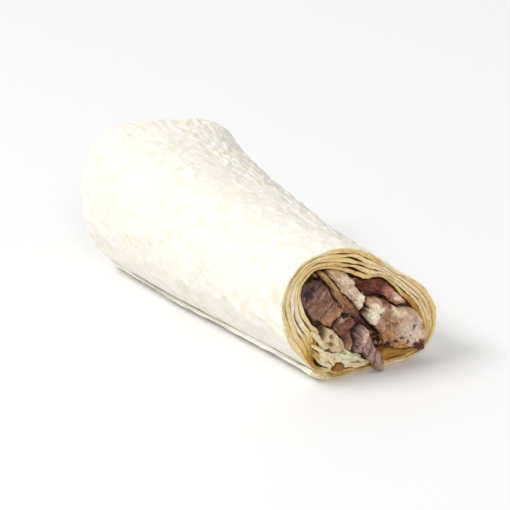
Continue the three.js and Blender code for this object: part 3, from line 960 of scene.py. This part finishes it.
def look_left(cap):
    ridge = waves(cap.along / 1.9 + 0.3 * cap.across + 0.6 * cap.noise(4.0, 1, 2))
    ridge = ridge * smooth(cap.noise((2.5, 5), 2), -0.6, 0.2)
    cracks = cap.cracks(4, 1.3)
    relief = 0.5 * ridge + 0.9 * cap.noise(4.5, 3, 2) + 0.35 * cap.noise(1.4, 4, 3) + 0.12 * cap.across - 0.4 * cracks
    lower = smooth(cap.along + cap.noise(3.0, 8), 1.5, 5.5)
    # Two hollows near the top left, dipped in and painted near-black: painted shade.
    shaded_hollows = cap.spots((-16.0, 8.7, 1.1), (-14.8, 10.8, 0.7))
    tint = cap.painted(
        "8b6252",
        (ridge * 0.7, "b8907e"),
        ((1 - ridge) * 0.35, "6a4438"),
        (smooth(cap.noise(3.0, 5, 2), 0.0, 0.7) * 0.5, "96624a"),
        (smooth(cap.noise(1.8, 6, 3), 0.1, 0.8) * 0.6, "bb957c"),
        # The lower end orange-brown with lighter streaks: its own tone, partly painted highlight.
        (lower * 0.85, "c38759"),
        (lower * smooth(cap.noise(1.2, 7, 2), 0.1, 0.6) * 0.6, "ddb08a"),
        (smooth(-cap.along + cap.noise(2.0, 10, 2), 2.5, 6.5) * 0.8, "4b3029"),
        (cracks * 0.7, "3c2017"),
        (cap.seared_and_shaded(0.8) * 0.8, "4a2a1d"),
        # Near-black along the left side: painted shade of the gap beside the bread.
        (smooth(-cap.across, 4.0, 5.2) * 0.8, "33201a"),
        (shaded_hollows * 0.85, "24140e"))
    return relief - 0.5 * shaded_hollows, tint


def look_strip(cap):
    stripe = waves(cap.across / 1.3 + 0.3 * cap.noise((6, 2), 1, 2))
    cracks = cap.cracks(6, 0.9)
    upper = smooth(-cap.along, 2, 10)
    relief = 0.25 * stripe + 0.6 * cap.noise((5, 2), 2, 2) + 0.2 * cap.noise(1.2, 4, 2) - 0.4 * cracks + 2.4 * upper
    tint = cap.painted(
        "a36f47",
        (stripe * 0.5, "c79a70"),
        (smooth(cap.noise((3, 1), 3, 2), 0.1, 0.8) * 0.5, "6a4028"),
        (upper * 0.8, "cda66d"),
        # The lower end darkened to near-black: painted shade of the gap beside the chunk and the middle slice.
        (smooth(cap.along, 0, 7) * 0.9, "33200f"),
        (cracks * 0.7, "3d2112"),
        (cap.seared_and_shaded(0.6) * 0.5, "5f3820"))
    return relief, tint


def look_top(cap):
    stripe = waves(cap.across / 1.5 + 0.5 * cap.noise((8, 2), 1, 2))
    cracks = cap.cracks(6, 1.2)
    relief = 0.35 * stripe + 0.6 * cap.noise((6, 2.5), 2, 2) + 0.25 * cap.noise(1.2, 3, 3)
    relief = relief - 0.06 * cap.across - 0.45 * cracks
    tint = cap.painted(
        "f0d6bc",
        (stripe * 0.5, "fbe8d2"),
        ((1 - stripe) * 0.3, "bc987a"),
        (smooth(cap.noise((4, 1.2), 5, 2), 0.0, 0.7) * 0.5, "a8805f"),
        (smooth(-cap.along, 3.5, 7.5) * 0.7, "c9a66c"),
        (smooth(cap.noise((3, 0.9), 4, 2), 0.4, 0.9) * 0.6, "7c5236"),
        (cracks * 0.6, "704a32"),
        (cap.seared_and_shaded(0.5) * 0.45, "7d5539"),
        # A near-white spot at the lower end: a fat bit with a painted glint on it.
        (cap.spot(0.2, 4.8, 1.3), "fbf3e2"))
    return relief, tint


def look_dark(cap):
    pink = smooth(cap.along + 1.4 * cap.noise(2.4, 3, 3), -0.5, 3.0)
    # A pale spot at the tip of the pink end: painted highlight.
    end = cap.spot(13.0, 2.2, 1.8)
    cracks = cap.cracks(3, 1.2)
    relief = (0.8 * cap.noise(2.6, 1, 3) + 0.35 * cap.noise(1.0, 2, 3)) * (1 - 0.3 * pink)
    relief = relief + 0.12 * cap.along + 0.5 * pink
    tint = cap.painted(
        "70301f",
        (smooth(cap.noise(1.8, 4, 2), -0.1, 0.6) * 0.6, "9a5038"),
        (smooth(cap.noise(1.2, 5, 2), 0.25, 0.8) * 0.8, "2e1009"),
        (pink * 0.9, "b8755a"),
        # Lighter patches and the pale spot on the pink end: painted highlight on its moist surface.
        (pink * smooth(cap.noise(1.8, 6, 2), -0.2, 0.6) * 0.6, "dba584"),
        (pink * end, "f6dcc0"),
        (cracks * 0.6, "47190f"),
        (cap.seared_and_shaded(0.9) * 0.6, "4c2014"))
    return relief - 0.5 * cracks, tint


# Dark specks dipped into the big chunk, mostly burnt ones; the first is a hole, painted near-black as shade. Place
# and radius.
CHUNK_SPECKS = ((1.0, 1.7, 0.7), (4.5, -0.6, 0.5), (12.3, 0.5, 0.5), (15.7, -6.7, 0.55), (3.2, -6.4, 0.6),
                (4.2, -10.6, 0.7), (6.7, -11.6, 0.6), (12.4, -11.0, 0.7), (8.9, -9.8, 0.5), (11.0, -9.2, 0.5),
                (13.6, -8.6, 0.35))


def look_chunk(cap):
    folds = cap.noise((6, 2.4), 1, 3)
    edge = smooth(-cap.across + 1.2 * cap.noise(2.0, 4, 3), 2.2, 4.6) * smooth(cap.along, -6.0, -2)
    tip = 1 - smooth(np.maximum(np.abs(cap.moved_x - 16.6) / 1.4, np.abs(cap.moved_z + 12.2)), 1.5, 2.2)
    lumps = np.abs(cap.noise(1.5, 8, 2))
    fat_away = np.hypot((cap.moved_x - 3.0) / 2.1, (cap.moved_z + 0.1) / 3.6)
    fat = np.clip(1 - smooth(fat_away, 0.85, 1.1) + cap.spot(1.4, -1.2, 1.7, 0.3), 0, 1)
    fat = fat * (1 - cap.spot(0.9, 1.8, 0.9))
    specks = cap.spots(*CHUNK_SPECKS, soft=0.4)
    cracks = cap.cracks(3.5, 1.5, 11)
    relief = 1.1 * cap.noise(5.0, 2, 2) + 0.5 * folds + 0.6 * cap.noise(2.0, 3, 4) + 0.1 * cap.along - 0.5 * cracks
    relief = relief + 0.9 * fat - 0.5 * specks + 2.0 * lumps * np.maximum(edge, tip)
    grain = waves(cap.across / 1.5 + 0.12 * cap.along + 0.55 * cap.noise((5, 2), 12, 3))
    grained = smooth(cap.along + cap.noise(3.0, 13), -3, 1) * (1 - edge) * (1 - fat)
    relief = relief + 0.28 * grain * grained
    tint = cap.painted(
        "d8b092",
        (smooth(folds, -0.3, 0.5) * 0.6, "dfc2a4"),
        (smooth(cap.noise((2.5, 1.2), 5, 3), 0.0, 0.6) * 0.6, "ab7755"),
        (smooth(cap.noise(1.4, 6, 3), 0.2, 0.7) * 0.6, "87573b"),
        (smooth(-cap.noise(1.4, 6, 3), 0.2, 0.7) * 0.6, "f0dabd"),
        (grained * (1 - grain) * 0.55, "b07e60"),
        (cap.spot(14.6, -7.2, 4.2) * 0.6, "f2e0cc"),
        (cap.spot(10.6, -0.6, 2.2) * 0.9, "f6e0bc"),
        (cap.spot(15.6, -9.6, 2.2) * 0.8, "f0d6ca"),
        (cap.spot(8.0, 3.0, 2.3) * 0.8, "7d472e"),
        (cap.spot(7.2, -1.6, 1.8, 0.8) * 0.8, "9a6243"),
        (cap.spot(8.4, -5.0, 2.6, 0.8) * 0.4, "a87856"),
        (fat, "fff0d4"),
        (fat * smooth(cap.noise(1.2, 10, 2), 0.15, 0.6) * 0.6, "cfac84"),
        # A near-white spot on the fat: painted glint.
        (cap.spot(5.1, 0.2, 0.8), "fff8ea"),
        (cap.spot(-1.0, 1.2, 2.0), "7c4020"),
        (edge * 0.8, "c98c58"),
        # Lighter on the crests of the lumps: painted light on the bumps of the char.
        (edge * smooth(lumps, 0.2, 0.5) * 0.8, "e4b076"),
        (edge * smooth(cap.noise(1.4, 9, 2), 0.1, 0.5) * 0.5, "7c4423"),
        (cap.spot(2.6, -8.8, 1.6) * 0.7, "522712"),
        (cracks * 0.5, "6f422a"),
        (tip, "66311a"),
        # Lighter on the crests of the lumps at the tip: painted light on its bumps.
        (tip * smooth(lumps, 0.25, 0.6) * 0.6, "86502f"),
        (specks * 0.95, "25120a"))
    return relief, tint


def look_middle(cap):
    ridge = waves(cap.along / 2.6 + 0.45 * cap.noise(3.0, 1, 2) + 0.1, 1.3)
    lower = smooth(cap.along, 2.0, 5.0)
    cracks = cap.cracks(3, 1.2)
    relief = 0.5 * ridge + 0.8 * cap.noise(3.5, 2, 2) + 0.35 * cap.noise(1.1, 3, 3) - 0.4 * cracks + 2.8 * lower
    # A hole near the left, dipped in and painted near-black: painted shade.
    hollow = cap.spot(-5.0, 0.5, 1.0, 0.4)
    tint = cap.painted(
        "7e4b37",
        # Lighter on the ridges: partly painted highlight.
        (ridge * 0.6, "aa7b61"),
        (smooth(cap.noise(2.5, 4, 2), 0.1, 0.7) * 0.6, "4f2c1c"),
        (cap.spot(-7.0, 0.4, 2.4) * 0.9, "cfb196"),
        # The lower end light tan: its own tone, partly painted light against the shade there.
        (lower * 0.85, "d9ae84"),
        (cracks * 0.7, "38190f"),
        (cap.seared_and_shaded(0.6) * 0.5, "55301f"),
        (hollow, "170c08"))
    return relief - 0.8 * hollow, tint


def look_curl(cap):
    ridge = waves(cap.along / 2.3 + 0.25 * cap.across + 0.6 * cap.noise(3.0, 1, 2), 0.8)
    bulge = 1.5 * np.sqrt(np.clip(1 - (cap.across / cap.lie.thick) ** 2, 0, 1))
    cracks = cap.cracks(2.4, 1.2)
    upper = smooth(-cap.along, 1, 6)
    relief = bulge - 0.9 + 0.5 * ridge + 0.6 * cap.noise(3.0, 2, 2) + 0.3 * cap.noise(1.1, 3, 3)
    relief = relief - 0.4 * cracks + 2.7 * upper
    tint = cap.painted(
        "aa8270",
        # Painted light and shade: highlight on the ridges' crests and on the upper end's crest, shade in the grooves.
        (ridge * 0.6, "c4a79a"),
        (upper * 0.95, "efcdbc"),
        (smooth(-ridge, -0.35, -0.05) * 0.6, "55372b"),
        (smooth(cap.along, 3, 7.5) * 0.85, "9a6a35"),
        (smooth(cap.noise(1.6, 4, 2), 0.3, 0.8) * 0.5, "604030"),
        (cracks * 0.6, "452a1e"),
        (cap.seared_and_shaded(0.6) * 0.5, "5c3725"))
    return relief, tint


# Dips in the leaf, painted dark as shade: place and radius.
SHADED_LEAF_DIPS = ((-11.3, -6.6, 0.8), (-10.4, -4.6, 0.7), (-11.6, -8.6, 0.6), (-8.6, -7.0, 0.5))


def look_leaf(cap):
    folds = cap.folds(4, 1.8)
    # Dips, dark as painted shade.
    shaded_dips = cap.spots(*SHADED_LEAF_DIPS, soft=0.6)
    relief = 0.7 * cap.noise(3.0, 1, 2) + 0.3 * cap.noise(1.2, 2, 2) + 0.9 * folds ** 2 - 1.0 * shaded_dips
    tint = cap.painted(
        "e6d2aa",
        (smooth(cap.noise(2.2, 3, 2), 0.0, 0.7) * 0.5, "d0b782"),
        (folds ** 3 * 0.6, "ece0c2"),
        (smooth(cap.along, 0, 5) * 0.5, "c8b184"),
        (smooth(cap.noise(1.2, 4, 2), 0.3, 0.9) * 0.6, "a58549"),
        (shaded_dips * 0.8, "76582a"))
    return relief, tint


def look_shred(cap):
    folds = cap.folds(6, 1.8)
    relief = 0.6 * cap.noise((4, 1.6), 1, 2) + 0.2 * cap.noise(1.0, 2, 2) + 0.8 * folds ** 2 - 0.6
    tint = cap.painted(
        "f6ecca",
        (smooth(cap.noise((4, 1.2), 3, 2), 0.0, 0.6) * 0.5, "dec68e"),
        (folds ** 3 * 0.6, "f1e7ca"),
        (cap.spot(-16.8, -9.6, 2.2) * 0.95, "dcb457"),
        (cap.spot(-3.0, -14.4, 1.0) * 0.8, "8a6238"))
    return relief + 0.6 * cap.spot(-16.8, -9.6, 2.0), tint


def look_tomato(cap):
    relief = 0.35 * cap.noise(1.6, 1, 2)
    tint = cap.painted(
        "9c6222",
        (smooth(cap.noise(1.5, 2, 2), 0.0, 0.7) * 0.7, "7d4216"),
        (smooth(cap.noise(0.9, 3, 2), 0.3, 0.9) * 0.5, "cd985a"))
    return relief, tint


# A shred's section, from one edge round to the other and back, as shares of its half width and half thickness.
SHRED_SECTION = np.array([(1, 0.5), (0.95, 1), (0.5, 1), (0, 1), (-0.5, 1), (-0.95, 1), (-1, 0.5),
                          (-1, -0.5), (-0.95, -1), (0, -1), (0.95, -1), (1, -0.5)])


def ribbon(shape, x, z, out, heading, length, width, thick, bend, code, seed):
    """A thin flat shred that comes up out of the filling, lies along the cut and dips in again."""
    steps, sides = 40, len(SHRED_SECTION)
    t = np.linspace(0, 1, steps)
    way = heading + bend * (t - 0.3)
    x, z = x + np.cumsum(np.cos(way)) * length / steps, z + np.cumsum(np.sin(way)) * length / steps
    along = stacked(t * length, 0, 0)
    broad = (1 + 0.18 * noise(along, 3.0, seed, 2)) * (0.55 + 0.45 * smooth(np.minimum(t, 1 - t), 0, 0.16))
    roll = 0.35 * noise(along, 7.0, seed + 1)[:, None]
    flat = width / 2 * SHRED_SECTION[:, 0] * broad[:, None]
    high = thick / 2 * SHRED_SECTION[:, 1] * (0.8 + 0.2 * broad[:, None])
    side, up = flat * np.cos(roll) - high * np.sin(roll), flat * np.sin(roll) + high * np.cos(roll)
    rise = out - 1.3 * smooth(np.abs(2 * t - 1), 0.45, 1.0) + 0.35 * noise(along, 4.0, seed + 2, 2)
    px, pz = x[:, None] - np.sin(way)[:, None] * side, z[:, None] + np.cos(way)[:, None] * side
    ruffle = 0.35 * side * noise(along, 2.2, seed + 3, 2)[:, None]
    pits = 0.12 * noise(stacked(px, 0, pz), 0.9, seed, 2)
    made = carried(px, pz, -(rise[:, None] + up + ruffle + pits)).reshape(-1, 3)
    veins = noise(stacked(t[:, None] * length, side, 0), (5, 0.7, 1), seed, 3).ravel()
    tint = painted(len(made), code, (smooth(veins, 0, 0.6) * 0.6, "bfa468"),
                   (smooth(-veins, 0.05, 0.6) * 0.7, "f3ead0"))
    start = shape.add(made, tint=tint)
    shape.faces += grid_faces(steps, sides, start, closed=True)
    for first in (0, (steps - 1) * sides):
        shape.fan(start + first, sides, shape.add(made[first:first + sides].mean(0), tint=tint[0]))


# Shreds that show at the cut, low on the left: start, how far out, heading in degrees, length, width, thickness
# and colour.
SHREDS = ((-16.8, -1.8, 1.0, -56, 8.5, 1.3, 0.4, "e6d4a6"), (-15.4, -2.4, 0.8, -72, 5.5, 1.0, 0.4, "eee0b8"),
          (-17.0, -5.8, 0.9, -40, 5.0, 1.1, 0.4, "ecdcb0"), (-14.8, -12.0, 0.8, -26, 5.0, 1.3, 0.4, "efe2ba"),
          (-14.4, -14.0, 0.5, -14, 3.6, 1.1, 0.4, "ead9ac"), (-9.4, -10.6, 1.3, -24, 8.5, 1.4, 0.4, "ebdcb2"),
          (-5.8, -14.6, 1.3, -4, 7.0, 1.3, 0.4, "ead9a8"), (-9.8, -3.6, 1.2, -80, 5.0, 1.1, 0.4, "e6d2a0"),
          (-13.2, -9.6, 1.1, -14, 5.5, 1.1, 0.4, "ebddb4"), (-8.0, -12.4, 1.3, -2, 6.5, 1.1, 0.4, "f0e5c2"),
          (-3.4, -12.6, 1.2, -34, 4.5, 1.0, 0.4, "ead9a8"), (-12.8, -10.8, 1.4, -44, 4.0, 1.0, 0.4, "eedcaa"),
          (-6.6, -9.6, 1.3, -50, 4.5, 1.0, 0.4, "eee0b8"), (-2.6, -15.4, 1.0, 8, 5.0, 1.0, 0.4, "efe2ba"),
          (-17.0, -7.4, 0.1, -62, 6.5, 1.5, 0.4, "b8933f"))
SHRED_BENDS = (0.5, -0.4, 0.3, -0.6)


def shreds():
    shape = Shape()
    for n, (x, z, out, heading, length, width, thick, code) in enumerate(SHREDS):
        bend = SHRED_BENDS[n % len(SHRED_BENDS)]
        ribbon(shape, x, z, out, math.radians(heading), length, width, thick, bend, code, 400 + 9 * n)
    return shape.piece("cabbage_shreds", LEAF, "cabbage", sharp=50)


SCRAPS, CRUMBS = 64, 16
SCRAP_REACH_X, SCRAP_REACH_Z = 19, 15  # how far from the core scraps are tried
CRUMBS_FROM, CRUMBS_TO = (3.4, -9.4), (13.6, -12.2)  # the ends of the chunk's lower edge
SCRAP_COLOURS = ("8a5f45", "6f4835", "a88468", "4a2c20")
CRUMB_COLOURS = ("b88560", "98644a", "5e3422", "c9a080")


def scraps():
    """Small torn bits of meat in the crevices between the slices, and crumbs on the chunk's lower edge."""
    draw = np.random.default_rng(8)
    names = [name for name in PIECES if name.startswith("kebab")]
    shape = Shape()
    made = 0
    while made < SCRAPS:
        x, z = draw.uniform(-SCRAP_REACH_X, SCRAP_REACH_X), draw.uniform(-SCRAP_REACH_Z, SCRAP_REACH_Z)
        near = sorted((float(distance_to(name, x, z)), name) for name in names)
        (nearest, first), (next_nearest, second) = near[:2]
        in_room = math.hypot(x, z) < room_radius(math.atan2(z, x), 0.0) - 0.6
        if in_room and nearest > -1.1 and next_nearest < 0.4:
            out = min(PIECES[first].out, PIECES[second].out)
            code = SCRAP_COLOURS[draw.integers(4)]
            turn = math.radians(PIECES[first].slope) + draw.normal(0, 0.4)
            lump(shape, x, z, -out + draw.uniform(-0.1, 0.8), draw.uniform(0.25, 0.6), code, 300 + shape.count,
                 (draw.uniform(1.2, 2.4), 1.0, draw.uniform(0.6, 0.9)), turn)
            made += 1
    for n in range(CRUMBS):
        share = (n + draw.uniform(0.1, 0.9)) / CRUMBS
        x = mixed(CRUMBS_FROM[0], CRUMBS_TO[0], share) + draw.normal(0, 0.3)
        z = mixed(CRUMBS_FROM[1], CRUMBS_TO[1], share) + draw.normal(0, 0.6)
        code = CRUMB_COLOURS[draw.integers(4)]
        lump(shape, x, z, draw.uniform(-2.4, -0.8), draw.uniform(0.25, 0.6), code, 900 + n, (1.6, 1.0, 0.8),
             draw.uniform(0, 3))
    return shape.piece("meat_scraps", MEAT, "kebab_meat", sharp=80)


BED_DEPTH, BED_BACK = 2.8, 9.0


def bed():
    """The filling deeper in, as it shows in the gaps between the slices, painted dark brown as shade."""
    turn, share = np.meshgrid(around(180), np.linspace(0, 1, 31)[1:])
    reach = (room_radius(turn, 0.0) - 0.1) * share
    x, z = reach * np.cos(turn), reach * np.sin(turn)
    place = stacked(x, 0, z)
    relief = 0.7 * noise(place, 3.0, 131, 3) + 0.3 * noise(place, 1.0, 132, 2)
    pale = 1 - smooth(np.hypot(x + 13, z + 10), 5, 8)
    # Dark brown: painted shade in the gaps; pale under the cabbage.
    tint = painted(x.size, "3d2419", (smooth(relief, 0, 0.6).ravel() * 0.5, "5f3d2c"), (pale.ravel(), "c2a86c"))
    shape = Shape()
    shape.add(carried(x, z, BED_DEPTH - relief), tint=tint, fibres=place)
    rows, columns = x.shape
    front_rim = (rows - 1) * columns
    back_rim = shape.add(carried(x[-1], z[-1], BED_BACK), tint=tint[front_rim:], fibres=place[-1])
    shape.faces += grid_faces(rows, columns, 0, closed=True)
    for first, depth in ((0, BED_DEPTH), (back_rim, BED_BACK)):
        shape.fan(first, columns, shape.add(carried(0.0, 0.0, depth), tint=tint[0], fibres=[0, 0, 0]))
    shape.wall(front_rim, back_rim, columns)
    return shape.piece("meat_bed", MEAT, "kebab_meat", sharp=80)


# ---- Pieces ---------------------------------------------------------------------------------------------

FILLINGS = (  # piece, its looks, material and slot, how rounded its edge is, and what hangs
    ("kebab_slice_left", look_left, MEAT, "kebab_meat", 0.7),
    ("kebab_strip", look_strip, MEAT, "kebab_meat", 0.6),
    ("kebab_slice_top", look_top, PALE_MEAT, "kebab_meat", 0.7),
    ("kebab_slice_dark", look_dark, MEAT, "kebab_meat", 0.7),
    ("kebab_chunk_right", look_chunk, PALE_MEAT, "kebab_meat", 1.7, (18.0, -12.4, 3.2, -0.4, -1.7)),
    ("kebab_slice_middle", look_middle, MEAT, "kebab_meat", 0.5),
    ("kebab_curl", look_curl, MEAT, "kebab_meat", 1.0, (2.9, -14.6, 2.4, 1.4, -3.0)),
    ("cabbage_leaf", look_leaf, LEAF, "cabbage", 0.5),
    ("cabbage_shred_left", look_shred, LEAF, "cabbage", 0.4),
    ("cabbage_shred_low", look_shred, LEAF, "cabbage", 0.5),
    ("tomato_piece", look_tomato, TOMATO, "tomato", 0.4),
)

outer_turn()
inner_layers()
end_fold()
for row in FILLINGS:
    filling(*row)
scraps()
bed()
shreds()

# ---- Floor, light and camera ----------------------------------------------------------------------------


FLOOR_HALF = 3.0


def put(name, data):
    """A new object in the scene."""
    thing = bpy.data.objects.new(name, data)
    bpy.context.scene.collection.objects.link(thing)
    return thing


def stage_floor():
    mesh = bpy.data.meshes.new("floor")
    corners = [(x * FLOOR_HALF, y * FLOOR_HALF, 0) for x, y in ((-1, -1), (1, -1), (1, 1), (-1, 1))]
    mesh.from_pydata(corners, [], [(0, 1, 2, 3)])
    look = Look("floor", Roughness=0.6, Specular_IOR_Level=0.15)
    soft = look.grain(300, 2.0)
    look.set(look.shader.inputs["Base Color"], look.mix(soft, (0.86, 0.86, 0.86, 1), (0.88, 0.88, 0.88, 1)))
    mesh.materials.append(look.material)
    floor = put("floor", mesh)


def aimed(thing, location, target, up=Vector((0, 0, 1))):
    forward = (Vector(target) - Vector(location)).normalized()
    right = forward.cross(up).normalized()
    upright = right.cross(forward)
    turned = Matrix((right, upright, -forward)).transposed()
    thing.matrix_world = Matrix.Translation(location) @ turned.to_4x4()


def area_light(name, location, target, size, power):
    data = bpy.data.lights.new(name, "AREA")
    data.shape, data.size, data.energy = "DISK", size, power
    aimed(put(name, data), location, target)


LIGHTS = (("key", (-1.1, 0.5, 1.5), 0.9, 19.5), ("fill", (-0.6, -1.8, 1.0), 0.44, 8.8))  # place, size and power
SKY_STRENGTH = 0.66

stage_floor()
middle = (cad_low + cad_high) / 2
for name, location, size, power in LIGHTS:
    area_light(name, location, middle, size, power)

world = bpy.data.worlds.new("studio")
world.use_nodes = True
sky = world.node_tree.nodes["Background"].inputs
sky["Color"].default_value, sky["Strength"].default_value = (1, 1, 1, 1), SKY_STRENGTH
bpy.context.scene.world = world
bpy.context.scene.view_settings.view_transform = "Standard"

CAMERA_PLACE = Vector((-353.7, -755.6, 302.4)) * MM
CAMERA_TARGET = Vector((-4.0, -12.0, 22.0)) * MM
CAMERA_UP = Vector((0.2284, 0.3001, 0.9262))
CLOSER = 1.7  # the photo's own lens would be 116.5 mm
camera = put("camera", bpy.data.cameras.new("camera"))
camera.data.lens = 116.5 * CLOSER
camera.data.clip_start, camera.data.clip_end = 0.05, 20
aimed(camera, CAMERA_PLACE, CAMERA_TARGET, CAMERA_UP)
bpy.context.scene.camera = camera
